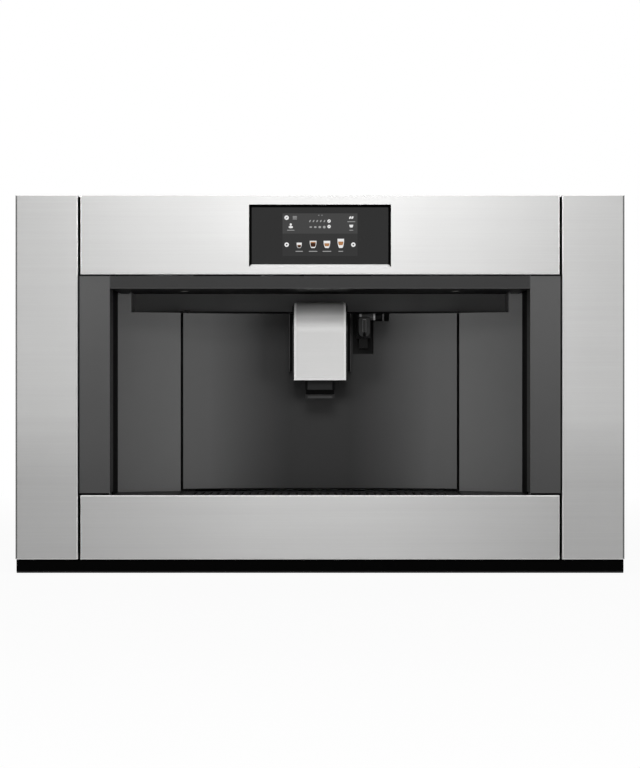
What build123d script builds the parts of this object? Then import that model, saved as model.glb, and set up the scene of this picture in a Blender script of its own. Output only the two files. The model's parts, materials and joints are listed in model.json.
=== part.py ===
from build123d import *
import os
from math import cos, pi, sin, sqrt

# A built-in coffee machine, in millimetres. X runs to the right as seen from the front, Y runs back into
# the cabinet and Z runs up. The origin is the middle of the front edge of the cabinet niche's floor.

# ---- Fascia: everything that stands in front of the cabinet ----
fascia_half = 379.0            # half of the width over both side trims
centre_half = 298.2            # half of the width of the control panel and the drawer front
frame_half = 299.4             # half of the width of the dark frame between them
seam = 2.3                     # gap between neighbouring fascia panels
face_y = -22.0                 # front plane of the steel panels
carrier_y = -4.0               # front of the plates that carry the panels
sheet = 1.5                    # thickness of the folded sheet metal
edge_bevel = 1.0               # bright bevel round each steel panel
strip_bottom, strip_top = -12.8, 4.2
strip_y = -12.0                # front of the black strip under the panels
drawer_bottom, drawer_top = 4.9, 84.5
frame_bottom, frame_top = 87.3, 357.7
panel_bottom, panel_top = 359.7, 458.4
frame_y = -20.0                # front plane of the dark grey frame
trim_inner = frame_half + seam

# ---- Display in the control panel ----
cutout_half, cutout_bottom, cutout_top = 88.4, 368.9, 446.6
cutout_bevel = 3.2             # mitred bevel that leads down to the glass
glass_gap = 0.2
glass_y, glass_thick = -18.6, 1.6

# ---- Cup bay: the open space over the drip tray ----
bay_half = 261.8
bay_floor, bay_ceiling = 83.2, 342.1
frame_return = 27.0            # Y where the frame's inner returns end
back_radius = 560.0            # the concave back of the bay
back_deepest = 165.0           # its Y in the middle
back_centre_y = back_deepest - back_radius
panel_inner = 182.4            # inner edges of the two curved side panels
panel_high = 340.2
notch_half, notch_bottom = 245.0, 316.5
head_bottom = 318.4            # lower edge of the head plate behind the notch
light_x, light_y, light_radius = 174.0, 72.0, 5.0
cavity_depth = 16.0            # from the face of the curved back to the inner front

# ---- Service door ----
door_half, door_bottom, door_top = 179.2, 86.0, 316.0
door_thick, skin_thick = 13.0, 1.2
hinge_x, hinge_y = -174.0, 141.2
pin_radius, running_gap = 1.75, 0.05
nozzle_notch = ((43.1, 70.5), 262.9)          # the upright leg of the L: its X span and lowest Z
nozzle_notch_foot = ((43.1, 91.1), 306.1)     # the level leg of the L

# ---- Coffee spout ----
cover_half, cover_thick = 33.4, 3.2
bevel_width, bevel_depth = 2.8, 0.8
cover_front_y, cover_top, cover_bottom = 78.0, 329.4, 228.1
cover_bend = 40.0              # radius where the cover turns back at its top
spout_half, spout_back_y, spout_wall = 35.5, 145.0, 2.5
guide_half, guide_bottom = 40.8, 239.6
outlet_half, outlet_bottom = 19.0, 204.7

# ---- Hot-water outlet ----
tap_x, tap_z, tap_radius = 57.7, 299.0, 4.0
capsule_half, capsule_bottom, capsule_top = 8.1, 283.3, 310.5
capsule_y = (114.0, 146.0)

# ---- Drawer ----
tray_half, tray_back = 178.0, 117.5
carriage_bottom = 13.0
grille_thick = 2.5
slot_pitch, slot_width = 10.0, 4.0
float_x, float_y, float_radius = 150.0, 92.0, 4.5

# ---- Chassis ----
chassis_half, chassis_back = 265.0, 446.0
chassis_bottom, chassis_top = 10.0, 438.0
wall = 1.2                     # chassis sheet
pan_floor = 11.5
niche_half = 280.0             # half of the cabinet niche's width
rail_y = (5.0, 445.0)
rail_bottom, rail_top = 19.0, 66.0
rail_screw_y = (70.0, 390.0)   # two screws through each cabinet rail
rail_screw_radius = 2.25

# ---- Coffee-making parts inside ----
brew_x, brew_y, brew_z = (-88.0, 18.0), (215.0, 325.0), (100.0, 290.0)
tab_z, tab_y = (185.0, 215.0), (228.0, 252.0)
tab_depth, tab_travel = 5.0, 4.0
hopper_x, hopper_y = (-205.0, -45.0), (190.0, 400.0)
hopper_bottom = 345.0
grinder_x, grinder_y = -125.0, 300.0
funnel_x, funnel_y = (25.0, 95.0), (255.0, 325.0)
knob_x, knob_y, knob_radius = -25.0, 300.0, 14.0
knob_notches, notch_depth = 12, 1.8
tank_x, tank_y, tank_z = (184.0, 264.5), (201.0, 419.0), (84.0, 330.0)
tank_wall, tank_lid_width = 2.2, 212.0
lid_barrel, lid_pin = 2.6, 1.5
inlet_x, inlet_z = -190.0, 72.0
switch_x = -150.0


# ---------------------------------------------------------------- helpers
def block(x, y, z):
    """A box between three (low, high) pairs."""
    size = [high - low for low, high in (x, y, z)]
    middle = [(high + low) / 2 for low, high in (x, y, z)]
    return Pos(*middle) * Box(*size)


def rod(axis, centre, radius, start, end):
    """A round bar along X, Y or Z. centre holds its other two coordinates in X, Y, Z order."""
    bar = Cylinder(radius, end - start, align=(Align.CENTER, Align.CENTER, Align.MIN))
    if axis == "X":
        return Pos(start, *centre) * Rot(0, 90, 0) * bar
    if axis == "Y":
        return Pos(centre[0], start, centre[1]) * Rot(-90, 0, 0) * bar
    return Pos(*centre, start) * bar


def both_sides(shape):
    """A shape and its mirror image about the middle plane."""
    return shape + mirror(shape, about=Plane.YZ)


def left_of(shape):
    return mirror(shape, about=Plane.YZ)


def spread(half):
    return (-half, half)


def curve_y(x, offset=0.0):
    """Y of the concave back at x, or of a surface that lies offset behind it."""
    return back_centre_y + sqrt((back_radius + offset) ** 2 - x ** 2)


def inside_curve(offset, z):
    """Everything in front of the concave back, between two heights."""
    disc = Pos(0, back_centre_y, z[0]) * Circle(back_radius + offset)
    return extrude(disc, z[1] - z[0])


def curved_plate(x, z, front, back):
    """A slice of the concave back between two distances behind its face."""
    span = block(x, (curve_y(bay_half) - 5, back_deepest + back + 5), z)
    return (span & inside_curve(back, z)) - inside_curve(front, z)


def steel_pan(x, z, back_y):
    """A folded panel: a bevelled face with four flanges, open at the back."""
    outer = block(x, (face_y, back_y), z)
    outer = chamfer(outer.faces().sort_by(Axis.Y)[0].edges(), edge_bevel)
    return outer - block(
        (x[0] + sheet, x[1] - sheet), (face_y + sheet, back_y), (z[0] + sheet, z[1] - sheet)
    )


def tub(x, y, z, thickness, corner):
    """An open-topped moulded container with rounded upright corners."""
    outer = block(x, y, z)
    outer = fillet(outer.edges().filter_by(Axis.Z), corner)
    inner = block(
        (x[0] + thickness, x[1] - thickness), (y[0] + thickness, y[1] - thickness), (z[0] + thickness, z[1])
    )
    return outer - fillet(inner.edges().filter_by(Axis.Z), corner - thickness)


def flat_sided(low, high):
    """A solid between two level rectangles, each given as its X span, its Y span and its Z."""
    rings = [
        [(x[0], y[0], z), (x[1], y[0], z), (x[1], y[1], z), (x[0], y[1], z)] for x, y, z in (low, high)
    ]
    outlines = [rings[0][::-1], rings[1]]
    for i in range(4):
        j = (i + 1) % 4
        outlines.append([rings[0][i], rings[0][j], rings[1][j], rings[1][i]])
    return Solid(Shell([Face(Wire.make_polygon(points)) for points in outlines]))


def funnel(mouth, foot, levels, inset):
    """A filled funnel. mouth is its X and Y spans, foot its lower end as a centre X, a centre Y and a
    half width, levels its lowest, waist and top Z, and inset draws all its walls in."""
    x, y = [(low + inset, high - inset) for low, high in mouth]
    reach = foot[2] - inset
    low = ((foot[0] - reach, foot[0] + reach), (foot[1] - reach, foot[1] + reach), levels[0])
    return flat_sided(low, (x, y, levels[1])) + block(x, y, levels[1:])


def hinged_lid(width, depth, thickness):
    """A lid in its own frame: hinge axis on X at the origin, closed lid towards -Y."""
    plate = block(spread(width / 2), (-depth, 0), (-lid_barrel, thickness - lid_barrel))
    lid = plate + rod("X", (0, 0), lid_barrel, -width / 2, width / 2)
    lip = block(spread(12), (-depth - 3, -depth), (-lid_barrel, thickness - lid_barrel))
    return lid + lip - rod("X", (0, 0), lid_pin + running_gap, -width / 2 - 1, width / 2 + 1)


def lid_ears(width, drop):
    """The two ears with pins that a hinged lid turns on, in the lid's frame."""
    ear = block((width / 2 + 0.5, width / 2 + 3), spread(3.5), (-drop, 3.5))
    pin = rod("X", (0, 0), lid_pin, width / 2 - 6, width / 2 + 3)
    return both_sides(ear + pin)


# ---------------------------------------------------------------- fascia
def cutout_floor(gap):
    """X and Z spans of the display opening where its bevel ends, less a gap all round."""
    inset = cutout_bevel + gap
    return spread(cutout_half - inset), (cutout_bottom + inset, cutout_top - inset)


def control_panel():
    panel = steel_pan(spread(centre_half), (panel_bottom, panel_top), carrier_y)
    collar_y = (face_y + sheet / 2, glass_y + glass_thick)
    collar_z = (cutout_bottom - sheet, cutout_top + sheet)
    panel += block(spread(cutout_half + sheet), collar_y, collar_z)
    x, z = cutout_floor(0)
    panel -= block(x, (face_y - 1, carrier_y), z)
    rim = panel.faces().sort_by(Axis.Y)[0].inner_wires()[0].edges()
    return chamfer(rim, cutout_bevel)


def display_glass():
    x, z = cutout_floor(glass_gap)
    glass = block(x, (glass_y, glass_y + glass_thick), z)
    return chamfer(glass.edges().filter_by(Axis.Y), 1.0)


def display_module():
    """The black bezel behind the glass, with the screen's housing on its back."""
    bezel_y = glass_y + glass_thick
    bezel = block(
        spread(cutout_half + 4), (bezel_y, bezel_y + 2), (cutout_bottom - 4, cutout_top + 4)
    )
    housing = block(spread(72), (bezel_y + 2, bezel_y + 11), (cutout_bottom + 6, cutout_top - 6))
    return bezel + chamfer(housing.edges().filter_by(Axis.Y), 3)


def trim_panel_right():
    return steel_pan((trim_inner, fascia_half), (drawer_bottom, panel_top), carrier_y + 2)


def bottom_trim():
    strip = block(spread(fascia_half), (strip_y, carrier_y + 2), (strip_bottom, strip_top))
    for end, bevel in ((0, 2.4), (-1, 1.2)):
        front = strip.faces().sort_by(Axis.Y)[0]
        strip = chamfer(front.edges().filter_by(Axis.X).sort_by(Axis.Z)[end], bevel)
    hollow_z = (strip_bottom + sheet, strip_top - sheet)
    return strip - block(spread(fascia_half - sheet), (strip_y + sheet, carrier_y + 2), hollow_z)


def trim_carriers():
    """A stepped plate each side, screwed to the chassis, that carries the fascia panels."""
    top = panel_top - 1
    inner = block((chassis_half - 1, trim_inner), (carrier_y, carrier_y + 2), (12, top))
    outer = block((trim_inner - sheet, fascia_half - 7), (carrier_y + 2, 0), (strip_bottom + 4, top))
    return both_sides(inner + outer)


def front_frame():
    """Two pillars and a header of painted sheet, with returns into the bay."""
    height, depth = (frame_bottom, frame_top), (frame_y, carrier_y)
    face = block(spread(frame_half), (frame_y, frame_y + sheet), height)
    face -= block(spread(bay_half), (frame_y - 1, frame_y + 3), (frame_bottom - 1, bay_ceiling))
    outer_flange = block((frame_half - sheet, frame_half), depth, height)
    return_z = (frame_bottom, bay_ceiling + sheet)
    inner_return = block((bay_half, bay_half + sheet), (frame_y, frame_return), return_z)
    foot = block((bay_half, frame_half), depth, (frame_bottom, frame_bottom + sheet))
    underside = block(spread(bay_half), (frame_y, -10), (bay_ceiling, bay_ceiling + sheet))
    top_flange = block(spread(frame_half), depth, (frame_top - sheet, frame_top))
    return face + underside + top_flange + both_sides(outer_flange + inner_return + foot)


# ---------------------------------------------------------------- cup bay
def niche_walls():
    reach = curve_y(bay_half) + 3
    return both_sides(block((bay_half, bay_half + 2), (frame_return, reach), (bay_floor - 3, bay_ceiling)))


def niche_ceiling():
    ceiling = block(spread(bay_half), (-10, back_deepest + 2), (bay_ceiling, bay_ceiling + 2))
    for x in spread(light_x):
        ceiling -= rod("Z", (x, light_y), light_radius, bay_ceiling - 1, bay_ceiling + 3)
    return ceiling


def ceiling_lights():
    lens = rod("Z", (light_x, light_y), light_radius, bay_ceiling, bay_ceiling + 3)
    body = block((light_x - 9, light_x + 9), (light_y - 9, light_y + 9), (bay_ceiling + 2, bay_ceiling + 8))
    return both_sides(lens + body)


def head_plate():
    """The recess above the door: a back plate, two cheeks and the shelf that holds the upper hinge pin."""
    back_y, shelf = (back_deepest, back_deepest + 2), door_top + 0.8
    back = block(spread(panel_inner), back_y, (shelf, bay_ceiling))
    over_door = curved_plate(spread(panel_inner), (shelf, head_bottom), 0, 60)
    over_panel = curved_plate((panel_inner, notch_half + 2), (notch_bottom - 1.6, notch_bottom), sheet, 80)
    riser = curved_plate((panel_inner, panel_inner + 1.6), (notch_bottom - 1.6, head_bottom), sheet, 60)
    cheek = curved_plate((notch_half, notch_half + 2), (notch_bottom - 1.6, bay_ceiling), sheet, 80)
    back_side = block((panel_inner, notch_half + 2), back_y, (notch_bottom - 1.6, bay_ceiling))
    plate = back + over_door + both_sides(over_panel + riser + cheek + back_side)
    plate -= block(spread(notch_half + 5), (back_deepest + 2, 300), (notch_bottom - 5, bay_ceiling + 5))
    return plate - rod("Z", (hinge_x, hinge_y), pin_radius, door_top, head_bottom + 1)


def side_panel_right():
    """A curved panel with a notch at its top and a return that closes the door's cavity."""
    panel = curved_plate((panel_inner, bay_half), (bay_floor - 3, panel_high), 0, sheet)
    panel -= block((panel_inner - 1, notch_half), (0, 300), (notch_bottom, panel_high + 1))
    edge_z = (bay_floor - 3, notch_bottom - 1.6)
    edge = curved_plate((panel_inner, panel_inner + sheet), edge_z, 0, cavity_depth + 2.5)
    return panel + edge


def niche_floors():
    """The two floor plates beside the drip tray."""
    height = (bay_floor - 3, bay_floor)
    floor = block((tray_half + 2, bay_half), (-2, 150), height) & inside_curve(0, height)
    lip = block((tray_half + 2, bay_half), (-2, -0.5), (bay_floor - 14, bay_floor))
    return both_sides(floor + lip)


def inner_front():
    """The bulkhead behind the door, on two legs, with an opening for the brew unit."""
    plate = curved_plate(spread(panel_inner), (84, door_top + 0.8), cavity_depth, cavity_depth + 2.5)
    plate -= block((brew_x[0] - 16, brew_x[1] + 16), (100, 250), (brew_z[0] - 8, brew_z[1] + 12))
    leg = block((165, panel_inner), (curve_y(panel_inner, cavity_depth), 168), (pan_floor, 84))
    bracket = block((-panel_inner, hinge_x + 9), (hinge_y - 4, 158), (80, 83))
    catch = block((160, 176), (140, 170), (190, 214)) & inside_curve(cavity_depth, (180, 220))
    catch -= inside_curve(door_thick, (180, 220))
    front = plate + both_sides(leg) + bracket + catch
    return front - rod("Z", (hinge_x, hinge_y), pin_radius, 79, 84)


# ---------------------------------------------------------------- service door
def notch_cut():
    """The L-shaped notch at the door's top that clears the hot-water outlet."""
    cut = block(nozzle_notch[0], (100, 250), (nozzle_notch[1], door_top + 1))
    return cut + block(nozzle_notch_foot[0], (100, 250), (nozzle_notch_foot[1], door_top + 1))


def door_skin():
    height = (door_bottom, door_top)
    skin = curved_plate(spread(door_half), height, 0, door_thick)
    inside = (door_bottom + skin_thick, door_top - skin_thick)
    skin -= curved_plate(spread(door_half - skin_thick), inside, skin_thick, door_thick + 3)
    for z in (door_bottom, door_top):
        skin -= rod("Z", (hinge_x, hinge_y), pin_radius + 0.4, z - 2, z + 2)
    return skin - notch_cut()


def door_inner():
    """The moulded inner shell: a back wall, a rim, ribs and the two hinge knuckles."""
    half = door_half - skin_thick
    low, high = door_bottom + skin_thick, door_top - skin_thick
    back_wall = door_thick - 2.2
    shell = curved_plate(spread(half), (low, high), skin_thick, door_thick)
    pocket = curved_plate(spread(half - 2.5), (low + 2.5, high - 2.5), skin_thick, back_wall)
    ribs = [block((x - 1, x + 1), (100, 200), (low, high)) for x in (-60, 0, 120)]
    ribs.append(block(spread(half), (100, 200), (179, 181)))
    notch_x = (nozzle_notch[0][0] - 2, nozzle_notch_foot[0][1] + 2)
    ribs.append(block(notch_x, (100, 200), (nozzle_notch[1] - 2, high)))
    knuckle = block((-half, hinge_x + 6), (100, 200), (low, high))
    for rib in ribs + [knuckle]:
        pocket -= rib
    shell -= pocket
    duct = block(spread(12), (174, 184), (238, 262)) - block(spread(9), (176, 185), (241, 259))
    shell += duct - inside_curve(door_thick, (230, 270))
    shell -= rod("Z", (hinge_x, hinge_y), pin_radius + running_gap, low - 1, low + 16)
    shell -= rod("Z", (hinge_x, hinge_y), pin_radius + running_gap, high - 16, high + 1)
    return shell - notch_cut()


def hinge_pins():
    """Hexagon-headed pins: one down from the shelf, one up from the lower bracket."""
    pins = rod("Z", (hinge_x, hinge_y), pin_radius, door_top - 12, head_bottom)
    pins += rod("Z", (hinge_x, hinge_y), pin_radius, 80, door_bottom + 12)
    for z in (head_bottom, 78.5):
        pins += Pos(hinge_x, hinge_y, z) * extrude(RegularPolygon(3.9, 6), 1.5)
    return pins


# ---------------------------------------------------------------- coffee spout
def spout_solid(half, inset, bottom, back_y):
    """The spout's side outline, drawn back by inset and pulled out to both sides."""
    front, top = cover_front_y + inset, cover_top - inset
    bend = cover_bend - inset
    outline = Polyline((back_y, top), (back_y, bottom), (front, bottom), (front, top - bend))
    outline += RadiusArc((front, top - bend), (front + bend, top), bend)
    outline += Line((front + bend, top), (back_y, top))
    return extrude(Plane.YZ * make_face(outline), half, both=True)


def spout_cover():
    """The bent steel cover, bevelled down both sides and along its lower edge."""
    cover = spout_solid(cover_half, 0, cover_bottom, spout_back_y - 3)
    for end in (0, -1):
        side = cover.faces().sort_by(Axis.X)[end]
        seen = side.edges().filter_by(lambda e: e.center().Z > cover_bottom + 1)
        seen = seen.filter_by(lambda e: e.center().Y < spout_back_y - 4)
        cover = chamfer(seen, bevel_depth, bevel_width, reference=side)
    foot = cover.faces().sort_by(Axis.Z)[0]
    cover = chamfer(foot.edges().sort_by(Axis.Y)[0], bevel_depth, bevel_width, reference=foot)
    return cover - spout_solid(cover_half + 5, cover_thick, cover_bottom - 5, spout_back_y + 5)


def spout_body():
    """The black shell behind the cover, with the neck and tongue that run in the guide."""
    body = spout_solid(spout_half, cover_thick, cover_bottom - 0.8, spout_back_y)
    inset, back_y = cover_thick + spout_wall, spout_back_y - spout_wall
    hollow = spout_solid(spout_half - spout_wall, inset, cover_bottom - 5, back_y)
    neck = block(spread(30), (spout_back_y, spout_back_y + 5), (262, 318))
    tongue = block(spread(35.2), (spout_back_y + 5, spout_back_y + 10), (262, 318))
    return body - hollow + neck + tongue


def spout_guide():
    """The channel on the door that the spout slides in, open at its foot."""
    z = (guide_bottom, door_top)
    channel_y = (spout_back_y + 4.7, spout_back_y + 10.3)
    outer = block(spread(guide_half), (spout_back_y + 2, 200), z)
    outer = chamfer(outer.faces().sort_by(Axis.Y)[0].edges().filter_by(Axis.Z), 1.2) & inside_curve(0, z)
    outer -= block(spread(35.5), channel_y, (z[0] - 1, z[1] + 1))
    return outer - block(spread(30.5), (spout_back_y, channel_y[0] + 0.5), (z[0] - 1, z[1] + 1))


def spout_nozzle():
    """The double outlet under the spout, with a waist between its block and its lip."""
    y = (95, 127)
    block_bottom, lip_top = 215.8, 209.8
    upper = chamfer(block(spread(outlet_half), y, (block_bottom, 240)).edges().filter_by(Axis.Z), 3)
    waist = block(spread(outlet_half - 0.8), (y[0] + 1, y[1] - 1), (lip_top, block_bottom))
    lip = chamfer(block(spread(outlet_half), y, (outlet_bottom, lip_top)).edges().filter_by(Axis.Z), 3)
    lip = chamfer(lip.faces().sort_by(Axis.Z)[-1].edges().sort_by(Axis.Y)[0], 2)
    shoulders = block(spread(24.7), (y[0] + 6, y[1] - 6), (222.8, 228.1))
    nozzle = upper + waist + lip + shoulders
    flange = block(spread(spout_half - spout_wall), (y[0] - 8, y[1] + 8), (228.1, 231))
    nozzle += flange
    for x in (-8.5, 8.5):
        nozzle -= rod("Z", (x, 111), 3.6, outlet_bottom - 1, 241)
    return nozzle


# ---------------------------------------------------------------- hot-water outlet
def steam_nozzle():
    """The fixed outlet: a base, the tube that the spout plugs on, and a crossbar with its stay."""
    z = (270, door_top + 0.8)
    base = block((tap_x - 9, tap_x + 9), (160, 190), (284, 315))
    stay = block((82.2, 84.2), (150, 190), (306.6, 315.6)) + block((66, 84.2), (168, 190), (309, 313.5))
    tube = rod("Y", (tap_x, tap_z), tap_radius, 132, 170)
    tube -= rod("Y", (tap_x, tap_z), 1.8, 131, 169)
    crossbar = rod("X", (152, 311.4), 4.4, 51, 72.6)
    arm = block((57, 72.6), (152, 190), (309, 313.5))
    drain = block((51.8, 62.9), (168, 190), (270.7, 285))
    fixed = base + stay + arm + drain
    fixed = fixed & inside_curve(cavity_depth, z)
    return fixed + tube + crossbar


def hot_water_spout():
    """The capsule that plugs on the tube: rounded foot, raised spine, outlet underneath."""
    low, high = capsule_bottom + capsule_half, capsule_top
    side = capsule_half
    outline = Polyline((-side, low), (-side, high - 2), (-side + 2, high), (side - 2, high))
    outline += Polyline((side - 2, high), (side, high - 2), (side, low))
    outline += RadiusArc((side, low), (-side, low), side)
    face = Plane((tap_x, capsule_y[1], 0), x_dir=(1, 0, 0), z_dir=(0, -1, 0)) * make_face(outline)
    shell = extrude(face, capsule_y[1] - capsule_y[0])
    shell = chamfer(shell.faces().sort_by(Axis.Y)[0].edges(), 0.9)
    shell += block((tap_x - 2.4, tap_x + 2.4), (capsule_y[0] - 1.2, capsule_y[0] + 4), (low, high - 2.5))
    shell -= rod("Y", (tap_x, tap_z), tap_radius + running_gap, capsule_y[1] - 20, capsule_y[1] + 1)
    return shell - rod("Z", (tap_x, capsule_y[0] + 12), 2.2, capsule_bottom - 1, tap_z)


# ---------------------------------------------------------------- drawer
def drawer_front():
    """The lower steel panel, with two brackets that take the carriage."""
    panel = steel_pan(spread(centre_half), (drawer_bottom, drawer_top), carrier_y - 0.5)
    bracket = block((120, 150), (face_y + sheet, carrier_y - 0.5), (28, 60))
    return panel + both_sides(bracket)


def tray_carriage():
    """The moulded sledge that the drip tray and the grounds container stand on."""
    floor_z = (carriage_bottom, carriage_bottom + 2.5)
    rear_half, rear_end = 150, 296
    front_y = (carrier_y - 0.5, carrier_y + 1.5)
    sledge = block(spread(172), (front_y[0], tray_back + 1), floor_z)
    sledge += block(spread(rear_half), (tray_back, rear_end), floor_z)
    sledge += block(spread(172), front_y, (carriage_bottom, 76))
    sledge += block(spread(rear_half), (rear_end - 2, rear_end), (carriage_bottom, 50))
    sledge += block(spread(tray_half - 8), (tray_back, tray_back + 2), (carriage_bottom, 79.5))
    sledge += block(spread(tray_half), (tray_back, 133), (77, 79.5))
    sledge += block(spread(rear_half), (133, 145), (77, 79.5))
    side = block((170.3, 172), (front_y[0], tray_back + 1), (carriage_bottom, 44))
    side += block((rear_half - 2, rear_half), (tray_back, rear_end), (carriage_bottom, 50))
    side += block((100, 110), (10, 290), (pan_floor, carriage_bottom))
    return sledge + both_sides(side)


def drip_tray():
    """A deep tub with a rim that the cup grille drops into, and the float's post."""
    y, ledge = (-2, tray_back), bay_floor - grille_thick
    rim = chamfer(block(spread(tray_half), y, (ledge - 1.8, bay_floor)).edges().filter_by(Axis.Z), 2)
    body_z = (carriage_bottom + 2.5, ledge - 1.8)
    body = chamfer(block(spread(170), y, body_z).edges().filter_by(Axis.Z), 4)
    tray = rim + body - block(spread(tray_half - 3.5), (1.5, tray_back - 3.5), (ledge, bay_floor + 1))
    hollow = block(spread(167.5), (4.5, tray_back - 6.5), (body_z[0] + 2.5, bay_floor))
    tray -= chamfer(hollow.edges().filter_by(Axis.Z), 3)
    post = block((float_x - 5, float_x + 5), (float_y - 5, float_y + 5), (body_z[0] + 1, 58))
    return tray + post


def cup_grille():
    """A plate with long slots. Those beside the float end before its hole."""
    y = (2, tray_back - 4)
    plate = block(spread(tray_half - 4), y, (bay_floor - grille_thick, bay_floor))
    slots = []
    columns = int(2 * 160 / slot_pitch) + 1
    for column in range(columns):
        x = -160 + column * slot_pitch
        end = float_y - 14 if abs(x - float_x) < 12 else y[1] - 7.5
        slots.append(block((x - slot_width / 2, x + slot_width / 2), (y[0] + 7.5, end), (70, 90)))
    plate -= Compound(slots)
    return plate - rod("Z", (float_x, float_y), float_radius + 1.5, 70, 90)


def tray_float():
    floater = block((float_x - 9, float_x + 9), (float_y - 9, float_y + 9), (58, 70))
    floater = chamfer(floater.edges().filter_by(Axis.Z), 4)
    return floater + rod("Z", (float_x, float_y), float_radius, 70, bay_floor - 0.5)


def grounds_container():
    box = tub(spread(73), (152, 292), (carriage_bottom + 2.5, 76), 2.2, 12)
    grip = block(spread(25), (146, 153), (70, 76)) - block(spread(22), (148.5, 152), (69, 77))
    return box + grip


# ---------------------------------------------------------------- chassis
def base_pan():
    pan = block(spread(chassis_half - wall), (0, chassis_back), (chassis_bottom, pan_floor))
    flange = block((chassis_half - 2 * wall, chassis_half - wall), (0, chassis_back), (chassis_bottom, 32))
    for x in (98, 110.5):
        flange += block((x - 0.5, x + 1.5), (5, 300), (pan_floor, carriage_bottom - 0.3))
    back = block(spread(chassis_half - wall), (chassis_back - wall, chassis_back), (chassis_bottom, 32))
    return pan + back + both_sides(flange)


def chassis_wall():
    """The right wall of the chassis, with the flange that takes the trim carrier."""
    front_y, height = carrier_y + 2, (chassis_bottom, chassis_top)
    side = block((chassis_half - wall, chassis_half), (front_y, chassis_back), height)
    return side + block((chassis_half - wall, trim_inner - 8), (front_y, front_y + wall), height)


def chassis_side_left():
    """The left wall, with vents beside the bean hopper."""
    side = left_of(chassis_wall())
    for row in range(6):
        z = 300 + 16 * row
        side -= block((-270, -260), (230, 400), (z, z + 5))
    return side


def chassis_side_right():
    """The right wall, with the opening that the water tank slides out of."""
    opening_y = (tank_y[0] - 3, tank_y[1] + 3)
    return chassis_wall() - block((260, 270), opening_y, (tank_z[0] - 2, tank_z[1] + 9))


def rear_panel():
    panel = block(spread(chassis_half), (chassis_back, chassis_back + sheet), (chassis_bottom, chassis_top))
    for row in range(8):
        z = 250 + 16 * row
        for x in (-190, 20):
            panel -= block((x, x + 150), (440, 450), (z, z + 5))
    return panel - block((inlet_x - 15, switch_x + 8), (440, 450), (inlet_z - 12, inlet_z + 12))


def top_cover():
    """The lid of the chassis, with openings for the beans, the ground coffee and the grind knob."""
    z = (chassis_top, chassis_top + sheet)
    cover = block(spread(chassis_half), (carrier_y + 2, chassis_back + sheet), z)
    cover += block(spread(chassis_half - 2), (carrier_y, carrier_y + 2), (chassis_top - 20, 450))
    cut_z = (chassis_top - 5, chassis_top + 5)
    cover -= block(hopper_x, hopper_y, cut_z)
    cover -= block(funnel_x, funnel_y, cut_z)
    cover -= rod("Z", (knob_x, knob_y), 4, *cut_z)
    for row in range(6):
        y = 230 + 30 * row
        cover -= block((130, 230), (y, y + 6), cut_z)
    return cover


# ---------------------------------------------------------------- slides
def rail(web, flange_from, z, y):
    """A channel on the right: its web, and two flanges that reach inwards or outwards."""
    flange = (min(web[0], flange_from), max(web[1], flange_from))
    channel = block(web, y, z)
    channel += block(flange, y, (z[0], z[0] + sheet))
    return channel + block(flange, y, (z[1] - sheet, z[1]))


def cabinet_rail_right():
    channel = rail((niche_half - sheet, niche_half), 271, (rail_bottom, rail_top), rail_y)
    middle = (rail_bottom + rail_top) / 2
    for y in rail_screw_y:
        channel -= rod("X", (y, middle), rail_screw_radius, 270, 290)
    return channel


def middle_rail_right():
    return rail((274, 275.5), 268.5, (rail_bottom + 4.5, rail_top - 4.5), rail_y)


def inner_rail_right():
    return rail((chassis_half, chassis_half + sheet), 273, (rail_bottom + 9, rail_top - 9), rail_y)


def ball_cages():
    """The cages between the rails, two rows on each track, inside the overlap when open."""
    gap = 3.0
    cages = None
    for bottom, x, y in (
        (rail_bottom + sheet, (271.5, 275), (200, 430)),
        (rail_bottom + 4.5 + sheet, (269, 272.5), (20, 250)),
    ):
        mirrored_bottom = rail_bottom + rail_top - bottom - gap
        for z in (bottom, mirrored_bottom):
            cage = block(x, y, (z, z + gap))
            cages = cage if cages is None else cages + cage
    return both_sides(cages)


# ---------------------------------------------------------------- coffee-making parts
def brew_unit():
    """The removable brew group: a frame with an open front, its chamber, its piston and a carrying loop."""
    frame = chamfer(block(brew_x, brew_y, brew_z).edges().filter_by(Axis.Z), 9)
    middle = (brew_x[0] + brew_x[1]) / 2
    frame -= block((brew_x[0] + 16, brew_x[1] - 16), (200, 290), (brew_z[0] + 22, brew_z[1] - 18))
    chamber = block((middle - 27, middle + 27), (225, 279), (brew_z[0] + 22, 200))
    frame += chamber - rod("Z", (middle, 252), 23, 140, 201)
    frame += rod("Z", (middle, 252), 22.5, 212, 240)
    for x, y in ((10, 2), (2, 10)):
        frame += block((middle - x, middle + x), (252 - y, 252 + y), (238, brew_z[1] - 17))
    loop = block((middle - 28, middle + 28), (198, 216), (brew_z[0] + 4, brew_z[0] + 16))
    frame += loop - block((middle - 20, middle + 20), (204, 215), (brew_z[0] + 3, brew_z[0] + 17))
    frame += block(spread(6.5), (192, 216), (243.5, 256.5))
    room = (tab_y[0] - 0.3, tab_y[1] + 0.3), (tab_z[0] - 0.3, tab_z[1] + 0.3)
    for edge, inwards in ((brew_x[0], 1), (brew_x[1], -1)):
        pocket = sorted((edge - 0.1 * inwards, edge + (tab_depth + tab_travel + 1) * inwards))
        frame -= block(pocket, *room)
    return frame


def brew_tab(side):
    """A release tab, proud of the brew unit's side. side is -1 on the left and 1 on the right."""
    edge = brew_x[0] if side < 0 else brew_x[1]
    span = sorted((edge + (tab_travel + 2) * side, edge - tab_depth * side))
    tab = block(span, tab_y, tab_z)
    outer = tab.faces().sort_by(Axis.X)[0 if side < 0 else -1]
    return chamfer(outer.edges(), 1.5)


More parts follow.
